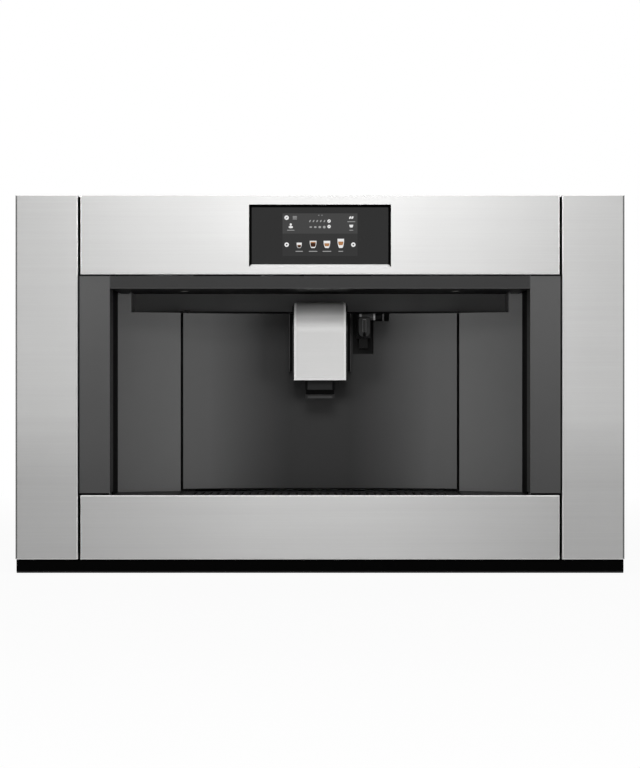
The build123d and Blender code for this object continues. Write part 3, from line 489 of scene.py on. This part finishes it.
# on a face that passes two tests, the later finish is the one that stays
def paintBevels():
    pans = ("control_panel", "drawer_front", "trim_panel_left", "trim_panel_right")
    bandLow, bandHigh = edges["nozzleBand"]
    drainLow, drainHigh = edges["drainX"]
    rows = (
        # painted highlights on the slanted bevels of the steel fronts, lighter still on those facing down
        (pans, "edgeHighlight", slanted),
        (pans, "lower", lambda c, n: slanted(c, n) and n.z < -0.5),
        # painted shade on the outer bevels of the side trims
        (("trim_panel_left",), "edgeShade", lambda c, n: slanted(c, n) and n.x < -0.5),
        (("trim_panel_right",), "edgeShade", lambda c, n: slanted(c, n) and n.x > 0.5),
        (("control_panel",), "black",
         lambda c, n: inCutout(c) and (slanted(c, n) and n.z < 0.5 or abs(n.y) < 0.3)),
        (("trim_carriers",), "carrierBack", lambda c, n: n.y > 0.3),
        # painted shade on the frame's returns into the bay
        (("front_frame",), "return", lambda c, n: abs(n.x) > 0.9 and abs(c.x) < edges["returnHalf"]),
        # painted highlight on the spout cover's side and lower bevels
        (("spout_cover",), "cover", lambda c, n: n.y < -0.02 and (0.15 < abs(n.x) < 0.6 or n.z < -0.15)),
        # painted shade on the nozzle's waist, and a painted highlight on its lip
        (("spout_nozzle",), "black", lambda c, n: bandLow < c.z < bandHigh),
        (("spout_nozzle",), "lipHighlight", lambda c, n: c.z < bandLow and n.y < -0.3),
        (("steam_nozzle",), "chrome", lambda c, n: drainLow < c.x < drainHigh and n.y < -0.5),
        (("steam_nozzle",), "crossbar", lambda c, n: onCrossbar(c)),
        # painted shade on the side panels' inner edges beside the door
        (("side_panel_left", "side_panel_right"), "black",
         lambda c, n: abs(n.x) > 0.8 and abs(c.x) < edges["sideHalf"]),
        # painted highlight on the guide's slanted side edges
        (("spout_guide",), "guide", lambda c, n: slanted(c, n) and abs(n.x) > 0.3),
        # painted light on the strip's lower chamfer
        (("bottom_trim",), "strip", lambda c, n: slanted(c, n) and n.z < -0.3),
    )
    return [paintFaces(name, bevels[finish], test) for names, finish, test in rows for name in names]


print("bevel faces painted:", paintBevels())


# small raised pieces on a plane: pictures, marks and screw heads
class Raised:
    # right and up lie in the plane, and heights are measured out of it
    def __init__(self, origin=(0, 0, 0), right=(1, 0, 0), up=(0, 0, 1)):
        self.origin, self.right, self.up = Vector(origin), Vector(right).normalized(), Vector(up).normalized()
        self.out = self.right.cross(self.up)
        self.corners, self.faces = [], []

    def ringOf(self, points, height):
        start = len(self.corners)
        for u, v in points:
            self.corners.append(self.origin + self.right * u + self.up * v + self.out * height)
        return list(range(start, len(self.corners)))

    # rings are lists of corner numbers, anticlockwise from outside, from the lowest to the highest
    def skin(self, rings):
        self.faces.append(rings[0][::-1])
        self.faces.append(rings[-1])
        for low, high in zip(rings, rings[1:]):
            for i in range(len(low)):
                j = (i + 1) % len(low)
                self.faces.append([low[i], low[j], high[j], high[i]])

    def outline(self, points, low, high):
        self.skin([self.ringOf(points, low), self.ringOf(points, high)])

    # an ellipse, turned by tilt
    def disc(self, centre, radii, low, high, sides, tilt=0.0):
        points = []
        for i in range(sides):
            t = 2 * math.pi * i / sides
            x, z = radii[0] * math.cos(t), radii[1] * math.sin(t)
            across = x * math.cos(tilt) - z * math.sin(tilt)
            upward = x * math.sin(tilt) + z * math.cos(tilt)
            points.append((centre[0] + across, centre[1] + upward))
        self.outline(points, low, high)

    def bar(self, centre, size, low, high):
        x, z, w, h = centre[0], centre[1], size[0] / 2, size[1] / 2
        self.outline([(x - w, z - h), (x + w, z - h), (x + w, z + h), (x - w, z + h)], low, high)

    # a turned piece from (radius, height) pairs
    def turned(self, centre, profile, sides):
        rings = []
        for radius, height in profile:
            angles = [2 * math.pi * i / sides for i in range(sides)]
            points = [(centre[0] + radius * math.cos(t), centre[1] + radius * math.sin(t)) for t in angles]
            rings.append(self.ringOf(points, height))
        self.skin(rings)

    # a flat ring, closed on all sides
    def hoop(self, centre, outer, inner, low, high, sides):
        angles = [2 * math.pi * i / sides for i in range(sides)]
        rings = [
            self.ringOf([(centre[0] + r * math.cos(t), centre[1] + r * math.sin(t)) for t in angles], height)
            for r, height in ((outer, low), (outer, high), (inner, high), (inner, low))
        ]
        for one, two in zip(rings, rings[1:] + rings[:1]):
            for i in range(sides):
                j = (i + 1) % sides
                self.faces.append([one[i], one[j], two[j], two[i]])

    def build(self, name, material, body, slot):
        mesh = bpy.data.meshes.new(name)
        mesh.from_pydata(self.corners, [], self.faces)
        mesh.validate()
        mesh.materials.append(material)
        obj = bpy.data.objects.new(name, mesh)
        scene.collection.objects.link(obj)
        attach(obj, body)


# sizes are in metres, and those of the pictures in mm from the screen's centre
screen = {
    "centre": (0.0, 0.4093), "size": (0.0934, 0.0530), "split": 0.0013, "glassFront": -0.0186,
    "skin": 0.00004, "upper": 0.055, "lower": 0.034,
    "inks": {
        "white": (0.84, 0.84, 0.84), "dim": (0.36, 0.36, 0.36), "dark": (0.012, 0.010, 0.009),
        "coffee": (0.045, 0.016, 0.007), "crema": (0.42, 0.20, 0.085),
    },
    # each disc: ink, place, half width and half height, layer, tilt and number of sides
    "discs": (
        ("white", -41.6, 21.1, 2.8, 2.8, 1, 0.0, 20), ("dark", -41.6, 21.1, 1.7, 0.45, 2, 0.75, 20),
        ("white", -36.4, 12.6, 1.35, 1.5, 1, 0.0, 20), ("white", -36.4, 9.4, 2.8, 1.4, 1, 0.0, 20),
        ("dim", -1.5, 24.1, 0.6, 0.6, 1, 0.0, 10), ("dim", 2.5, 24.1, 0.6, 0.6, 1, 0.0, 10),
        ("white", 11.3, 16.9, 2.1, 2.1, 1, 0.0, 20), ("dark", 11.3, 16.9, 1.3, 0.35, 2, 0.75, 20),
        ("white", 11.3, 10.1, 2.1, 2.1, 1, 0.0, 20), ("dark", 11.3, 10.1, 1.3, 0.35, 2, 0.75, 20),
        ("white", 37.6, 21.2, 1.9, 1.1, 1, 1.0, 14), ("white", 40.4, 21.2, 1.9, 1.1, 1, 1.0, 14),
        ("white", -41.5, -12.5, 2.8, 2.8, 1, 0.0, 20), ("dark", -41.5, -12.5, 1.0, 1.0, 2, 0.0, 12),
        ("white", 41.5, -12.5, 2.8, 2.8, 1, 0.0, 20), ("dark", 41.5, -12.5, 1.0, 1.0, 2, 0.0, 12),
    ),
    # each row of small ovals: how many, first place, step, half width and half height, growth and tilt
    "rows": (
        (5, -12.5, 16.9, 4.5, 1.6, 0.75, 0.0, 1.0),
        (4, -11.5, 9.4, 5.6, 1.7, 0.9, 0.25, 0.0),
    ),
    # each bar: place, width and height
    "bars": (
        (-31.4, 19.5, 5.2, 0.8), (-31.4, 21.1, 5.2, 0.8), (-31.4, 22.7, 5.2, 0.8),
        (-36.4, 5.5, 9.0, 0.8), (39.0, 16.1, 9.6, 0.8), (39.0, 5.5, 4.6, 0.8),
    ),
    "cup": (39.0, 10.6, 4.8, 3.4),
    # each drink: place, width and height, its bands, and the width of its label
    "drinks": (
        (-25.9, -13.3, 6.4, 6.6, (("coffee", 0.08, 0.52), ("crema", 0.52, 0.60)), 9.0),
        (-8.6, -12.2, 8.4, 9.0, (("coffee", 0.16, 0.70), ("crema", 0.70, 0.86)), 10.4),
        (8.6, -12.2, 8.2, 9.0, (("crema", 0.24, 0.66),), 10.6),
        (25.9, -10.9, 8.2, 11.4, (("crema", 0.30, 0.70),), 5.8),
    ),
    "label": (-20.8, 1.0),
}
cupLook = {
    "steps": 8, "curve": 1.6, "foot": 0.45, "drinkFoot": 0.62, "wall": 0.55,
    "drinkLeast": 0.72, "drinkGrowth": 0.28,
}


def screenPoint(x, z):
    return screen["centre"][0] + x / 1000, screen["centre"][1] + z / 1000


def buildScreen():
    glass, skin = screen["glassFront"], screen["skin"]
    half, high, split = screen["size"][0] / 2, screen["size"][1] / 2, screen["split"]
    layers = [(i * skin - glass, (i + 1) * skin - glass) for i in range(3)]
    upper, lower = Raised(), Raised()
    z = screen["centre"][1]
    upper.bar((0, z + (split + high) / 2), (2 * half, high - split), *layers[0])
    lower.bar((0, z + (split - high) / 2), (2 * half, high + split), *layers[0])
    inks = {name: Raised() for name in screen["inks"]}

    def disc(ink, x, z, wide, tall, layer, tilt, sides):
        inks[ink].disc(screenPoint(x, z), (wide / 1000, tall / 1000), *layers[layer], sides=sides, tilt=tilt)

    def bar(x, z, wide, tall):
        inks["dim"].bar(screenPoint(x, z), (wide / 1000, tall / 1000), *layers[1])

    for row in screen["discs"]:
        disc(*row)
    for count, x, z, step, wide, tall, growth, tilt in screen["rows"]:
        for i in range(count):
            disc("dim", x + step * i, z, wide, tall + growth * i, 1, tilt, 14)
    for row in screen["bars"]:
        bar(*row)
    cupPicture(inks, *screen["cup"], layers, ())
    for x, z, wide, tall, drink, label in screen["drinks"]:
        cupPicture(inks, x, z, wide, tall, layers, drink)
        bar(x, screen["label"][0], label, screen["label"][1])
    for name, plate, level in (("Upper", upper, screen["upper"]), ("Lower", lower, screen["lower"])):
        plate.build("screen" + name, flatInk("screen" + name + "Ink", grey(level)), "machine", "screen_glass")
    for name, plates in inks.items():
        material = flatInk(name + "Ink", (*screen["inks"][name], 1))
        plates.build("screen" + name.capitalize(), material, "machine", "screen_glass")


# a rounded glass or cup seen from the side, with the drink inside it as (ink, lowest, highest) bands
def cupPicture(inks, x, z, wide, tall, layers, drink):
    look = cupLook

    def rounded(half, low, high, foot):
        right = []
        for i in range(look["steps"] + 1):
            t = i / look["steps"]
            across = half * (foot + (1 - foot) * math.sin(t * math.pi / 2))
            right.append((across, low + (high - low) * t ** look["curve"]))
        return [screenPoint(x - w, h) for w, h in reversed(right)] + [screenPoint(x + w, h) for w, h in right]

    low, high = z - tall / 2, z + tall / 2
    inks["white"].outline(rounded(wide / 2, low, high, look["foot"]), *layers[1])
    for ink, start, end in drink:
        half = (wide / 2 - look["wall"]) * (look["drinkLeast"] + look["drinkGrowth"] * end)
        band = rounded(half, low + tall * start, low + tall * end, look["drinkFoot"])
        inks[ink].outline(band, *layers[2])


buildScreen()
print("screen pictures built")


# screws, marks and grips that the solids leave out
screwLook = {
    "radius": 0.0034, "sides": 16,
    "profile": ((1.0, 0.0), (1.0, 0.16), (0.86, 0.36), (0.55, 0.46), (0.42, 0.47), (0.38, 0.14)),
    "edge": 0.009, "rows": 3, "across": 5, "front": 0.016, "overRail": 2.2, "underTop": 1.6,
}
topLip = 0.0105               # how far the top cover's front lip stands above its sheet


def evenly(low, high, count):
    return [low + (high - low) * i / (count - 1) for i in range(count)]


def buildScrews():
    size = screwLook["radius"]
    profile = [(radius * size, height * size) for radius, height in screwLook["profile"]]
    edge, rows = screwLook["edge"], screwLook["rows"]
    rearLow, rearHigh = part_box("rear_panel")
    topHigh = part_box("top_cover")[1]
    wide, deep = rearHigh.x - edge, (screwLook["front"], rearHigh.y - edge)
    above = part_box("inner_rail_right")[1].z + screwLook["overRail"] * edge
    high = topHigh.z - screwLook["underTop"] * edge
    columns = evenly(-wide, wide, screwLook["across"])
    rear = [(x, z) for x in columns for z in (rearLow.z + edge, rearHigh.z - edge)]
    rear += [(side * wide, (rearLow.z + rearHigh.z) / 2) for side in (-1, 1)]
    top = [(side * wide, y) for side in (-1, 1) for y in evenly(*deep, rows)] + [(0, deep[0]), (0, deep[1])]
    left = [(-y, z) for y in evenly(*deep, rows) for z in (above, high)]
    right = [(y, z) for y in deep for z in (above, high)]    # the tank's side has no middle pair
    sheets = {
        "rearScrews": (Raised((0, rearHigh.y, 0), (-1, 0, 0)), rear),
        "topScrews": (Raised((0, 0, topHigh.z - topLip), up=(0, 1, 0)), top),
        "leftScrews": (Raised((rearLow.x, 0, 0), (0, -1, 0)), left),
        "rightScrews": (Raised((rearHigh.x, 0, 0), (0, 1, 0)), right),
    }
    for name, (sheet, places) in sheets.items():
        for place in places:
            sheet.turned(place, profile, screwLook["sides"])
        sheet.build(name, finishes["rail_steel"], "machine", "rail_steel")


markLook = {
    "ink": 0.70, "skin": 0.00015, "dots": 9, "ring": 0.0195, "least": 0.0005, "most": 0.0013,
    "sweep": (200, -20), "sides": 12, "pointer": (0.0014, 0.0075), "pointerAt": 0.0085,
    "ridges": 4, "ridge": (0.030, 0.0010, 0.0006), "step": 0.0032, "ridgeStart": 0.006, "lidSheet": 0.003,
    "levels": 6, "levelStep": 0.032, "levelStart": 0.032, "levelAt": -0.075,
    "tick": (0.012, 0.0009), "topTick": (0.034, 0.0014),
}


def buildMarks():
    look = markLook
    light = mouldedPlastic("paleInk", {**tabLook, "level": look["ink"]})
    knobLow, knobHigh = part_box("grind_knob")
    centre = (knobLow + knobHigh) / 2
    scale = Raised((centre.x, centre.y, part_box("top_cover")[1].z - topLip), up=(0, 1, 0))
    for i, angle in enumerate(evenly(*map(math.radians, look["sweep"]), look["dots"])):
        size = look["least"] + (look["most"] - look["least"]) * i / (look["dots"] - 1)
        place = (look["ring"] * math.cos(angle), look["ring"] * math.sin(angle))
        scale.disc(place, (size, size), 0, look["skin"], look["sides"])
    scale.build("grindScale", finishes["black_plastic"], "machine", "black_plastic")
    pointer = Raised((centre.x, centre.y, knobHigh.z), up=(0, 1, 0))
    pointer.bar((0, look["pointerAt"]), look["pointer"], 0, look["skin"])
    pointer.build("knobPointer", light, "knob", "tab_plastic")
    wide, deep, tall = look["ridge"]
    for name, body in (("bean_lid", "bean_cover"), ("preground_lid", "preground_cover")):
        low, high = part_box(name)
        grip = Raised(((low.x + high.x) / 2, low.y, low.z + look["lidSheet"]), up=(0, 1, 0))
        for i in range(look["ridges"]):
            grip.bar((0, look["ridgeStart"] + i * look["step"]), (wide, deep), 0, tall)
        grip.build(name.replace("_lid", "Grip"), finishes["black_plastic"], body, "black_plastic")
    low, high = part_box("water_tank")
    levels = Raised((high.x, (low.y + high.y) / 2, 0), (0, 1, 0))
    for i in range(look["levels"]):
        z = low.z + look["levelStart"] + i * look["levelStep"]
        size = look["topTick"] if i == look["levels"] - 1 else look["tick"]
        levels.bar((look["levelAt"], z), size, 0, look["skin"])
    levels.build("tankLevels", light, "tank", "tab_plastic")


switchLook = {
    "rise": 0.0030, "half": 0.0086, "from": 0.0048, "bar": (0.0009, 0.0042), "hoop": (0.0020, 0.0013),
    "sides": 18, "skin": 0.0001,
}


# the rocker's I and O, on its level upper half and its slanted lower half
def buildSwitchMarks():
    look = switchLook
    low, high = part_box("mains_switch")
    middle = (low.x + high.x) / 2
    level, z = high.y - look["rise"], low.z + look["half"]
    upper = Raised((middle, level, z), (-1, 0, 0))
    upper.bar((0, look["from"]), look["bar"], 0, look["skin"])
    upper.build("switchBar", finishes["tab_plastic"], "power_switch", "tab_plastic")
    lower = Raised((middle, level, z), (-1, 0, 0), (0, -look["rise"], look["half"]))
    lower.hoop((0, -look["from"]), *look["hoop"], 0, look["skin"], look["sides"])
    lower.build("switchHoop", finishes["tab_plastic"], "power_switch", "tab_plastic")


capsuleLook = {
    "line": 0.0004, "lineZ": (0.2905, 0.3070), "lineX": 0.0021, "cap": (0.0042, 0.0010),
    "arch": (0.0021, 0.0062), "archZ": 0.2846, "archPoints": 6, "skin": 0.00012, "highlightLevel": 0.13,
}


# the capsule's spine: two light lines along its edges and a light cap, as painted highlights, and a dark
# pointed arch at its foot
def buildSpine():
    look = capsuleLook
    low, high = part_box("hot_water_spout")
    middle = (low.x + high.x) / 2
    foot, top = look["lineZ"]
    front = Raised((middle, low.y, 0))
    for side in (-1, 1):
        front.bar((side * look["lineX"], (foot + top) / 2), (look["line"], top - foot), 0, look["skin"])
    front.bar((0, top), look["cap"], 0, look["skin"])
    spineHighlight = mouldedPlastic("spineHighlightPlastic", {**plasticLook, "level": look["highlightLevel"]})
    front.build("spineHighlights", spineHighlight, "hot_water_outlet", "black_plastic")
    wide, tall = look["arch"]
    arch = Raised((middle, low.y, 0))
    curve = [(wide * math.cos(t), tall * math.sin(t)) for t in evenly(0, math.pi / 2, look["archPoints"])]
    start = look["archZ"]
    points = [(x, start + z) for x, z in curve] + [(-x, start + z) for x, z in reversed(curve[:-1])]
    arch.outline(points, 0, look["skin"] / 2)
    arch.build("spineArch", bevels["black"], "hot_water_outlet", "black_plastic")


buildScrews()
buildSpine()
buildMarks()
buildSwitchMarks()
print("screws and marks built")


# floor, light and camera
stageLook = {"floor": 0.80, "floorZ": -0.0128, "size": 60.0, "near": 0.9, "far": 2.2, "shown": 0.07}


def buildStage():
    bpy.ops.mesh.primitive_plane_add(size=stageLook["size"], location=(0, 0, stageLook["floorZ"]))
    floor = bpy.context.object
    floor.name = "floor"
    shader = Shader("floorPaint")
    floorColour = grey(stageLook["floor"])
    principled = shader.add("ShaderNodeBsdfPrincipled", values={"Base Color": floorColour, "Roughness": 0.7})
    white = shader.add("ShaderNodeEmission", values={"Color": (1, 1, 1, 1), "Strength": 1.0})
    camera = shader.add("ShaderNodeLightPath", out="Is Camera Ray")
    # the floor's own light and shade shows near the object only, so that no horizon is seen
    place = shader.add("ShaderNodeTexCoord", out="Object")
    distance = shader.add("ShaderNodeVectorMath", {"operation": "LENGTH"}, {0: place}, out="Value")
    shown = (1 - distance.ramp(stageLook["near"], stageLook["far"])) * stageLook["shown"]
    blended = shader.add("ShaderNodeMixShader", values={0: camera * (1 - shown), 1: principled, 2: white})
    shader.tree.links.new(blended.socket, shader.output.inputs["Surface"])
    floor.data.materials.append(shader.material)


lamps = {
    "key": {"at": (0.0, -3.2, 1.35), "aim": (0, 0, 0.25), "size": (0.8, 0.6), "power": 28.0},
    "top": {"at": (0.0, -0.9, 2.3), "aim": (0, -0.1, 0.2), "size": (2.2, 1.2), "power": 12.0},
    "left": {"at": (-1.6, -2.3, 0.15), "aim": (0, 0, 0.25), "size": (0.9, 0.9), "power": 20.0},
    "right": {"at": (1.6, -2.3, 0.15), "aim": (0, 0, 0.25), "size": (0.9, 0.9), "power": 20.0},
}
worldLook = {"soft": 0.30, "seen": 1.0}


def buildLight():
    for name, lamp in lamps.items():
        data = bpy.data.lights.new(name, "AREA")
        data.shape = "RECTANGLE"
        data.size, data.size_y = lamp["size"]
        data.energy = lamp["power"]
        obj = bpy.data.objects.new(name, data)
        obj.location = lamp["at"]
        direction = Vector(lamp["aim"]) - Vector(lamp["at"])
        obj.rotation_euler = direction.to_track_quat("-Z", "Y").to_euler()
        scene.collection.objects.link(obj)
    world = bpy.data.worlds.new("studio")
    scene.world = world
    world.use_nodes = True
    tree = world.node_tree
    tree.nodes.clear()
    output = tree.nodes.new("ShaderNodeOutputWorld")
    light = tree.nodes.new("ShaderNodeLightPath")
    soft, seen = tree.nodes.new("ShaderNodeBackground"), tree.nodes.new("ShaderNodeBackground")
    soft.inputs["Color"].default_value = grey(worldLook["soft"])
    seen.inputs["Color"].default_value = grey(worldLook["seen"])
    mixer = tree.nodes.new("ShaderNodeMixShader")
    rays = tree.nodes.new("ShaderNodeMath")
    rays.operation = "ADD"
    more = tree.nodes.new("ShaderNodeMath")
    more.operation, more.use_clamp = "ADD", True
    tree.links.new(light.outputs["Is Camera Ray"], rays.inputs[0])
    tree.links.new(light.outputs["Is Glossy Ray"], rays.inputs[1])
    tree.links.new(rays.outputs[0], more.inputs[0])
    tree.links.new(light.outputs["Is Transmission Ray"], more.inputs[1])
    tree.links.new(more.outputs[0], mixer.inputs[0])
    tree.links.new(soft.outputs[0], mixer.inputs[1])
    tree.links.new(seen.outputs[0], mixer.inputs[2])
    tree.links.new(mixer.outputs[0], output.inputs["Surface"])


cameraLook = {"at": (0.0, -3.022, 0.2232), "lens": 113.0, "sensor": 36.0}


def buildCamera():
    data = bpy.data.cameras.new("photoCamera")
    data.lens, data.sensor_width = cameraLook["lens"], cameraLook["sensor"]
    data.clip_start, data.clip_end = 0.05, 100
    obj = bpy.data.objects.new("photoCamera", data)
    obj.location = cameraLook["at"]
    obj.rotation_euler = (math.radians(90), 0, 0)
    scene.collection.objects.link(obj)
    scene.camera = obj


buildStage()
buildLight()
buildCamera()
scene.view_settings.view_transform = "Standard"
print("floor, light and camera set")
